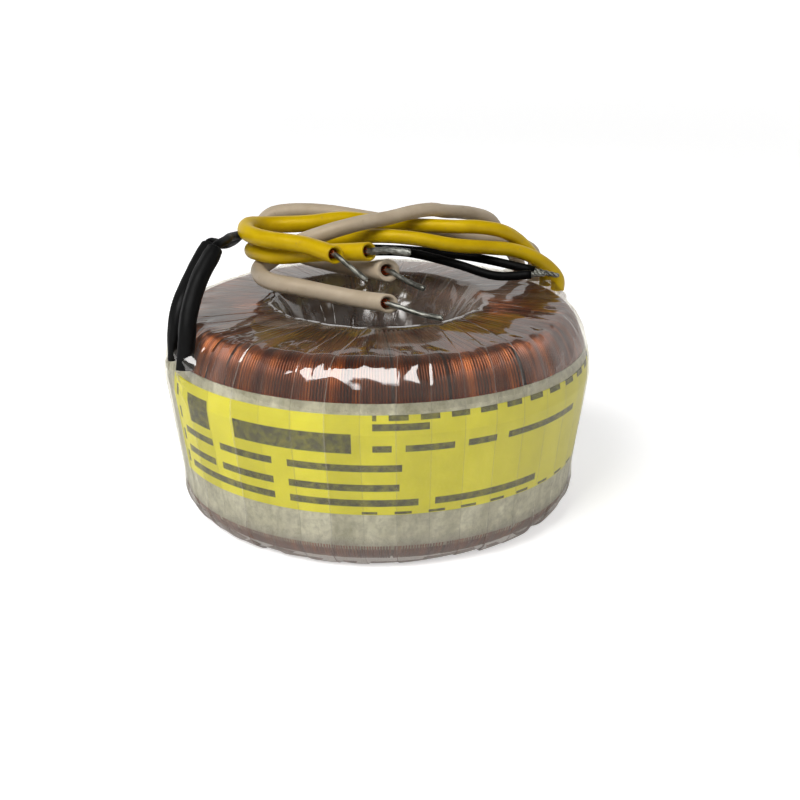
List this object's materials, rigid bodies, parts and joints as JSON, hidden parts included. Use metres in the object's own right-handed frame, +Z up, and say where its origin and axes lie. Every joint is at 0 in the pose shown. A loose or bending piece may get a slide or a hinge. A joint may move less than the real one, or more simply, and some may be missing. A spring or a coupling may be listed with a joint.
{
  "type": "toroidal transformer",
  "caption": "Ring-shaped mains transformer wrapped in clear film, with a yellow label, a centre mounting hole and white, yellow and black leads.",
  "frame": {"origin": "on the bore's axis, at the base that the transformer rests on", "axes": "+Z up along the axis of the bore; +X towards the side where the white and yellow leads come out; -Y towards the middle of the label"},
  "size_m": [0.08, 0.0799, 0.0546],
  "materials": {
    "core_steel": "satin",
    "pressboard": "matte",
    "insulating_paper": "matte",
    "enamelled_copper": "gloss",
    "enamelled_copper_outer": "gloss",
    "interlayer_film": "gloss",
    "band_paper": "matte",
    "label_yellow": "satin",
    "clear_film": "gloss",
    "white_insulation": "satin",
    "yellow_insulation": "satin",
    "black_sleeve": "satin",
    "black_insulation": "satin",
    "tinned_wire": "gloss"
  },
  "bodies": {
    "root": {"core": "core_steel", "core_end_ring_top": "pressboard", "core_end_ring_bottom": "pressboard", "core_outer_strip": "insulating_paper", "core_inner_strip": "insulating_paper", "primary_winding": "enamelled_copper", "interlayer_insulation": "interlayer_film", "secondary_winding_1": "enamelled_copper", "secondary_winding_2": "enamelled_copper_outer", "side_band": "band_paper", "label": "label_yellow", "film_wrap": "clear_film", "white_lead_1": "white_insulation", "white_lead_2": "white_insulation", "yellow_lead_1": "yellow_insulation", "yellow_lead_2": "yellow_insulation", "black_sleeve_1": "black_sleeve", "black_sleeve_2": "black_sleeve", "black_lead_1": "black_insulation", "black_lead_2": "black_insulation", "white_tip_1": "tinned_wire", "white_tip_2": "tinned_wire", "yellow_tip_1": "tinned_wire", "yellow_tip_2": "tinned_wire", "black_tip_1": "tinned_wire", "black_tip_2": "tinned_wire"}
  },
  "joints": []
}
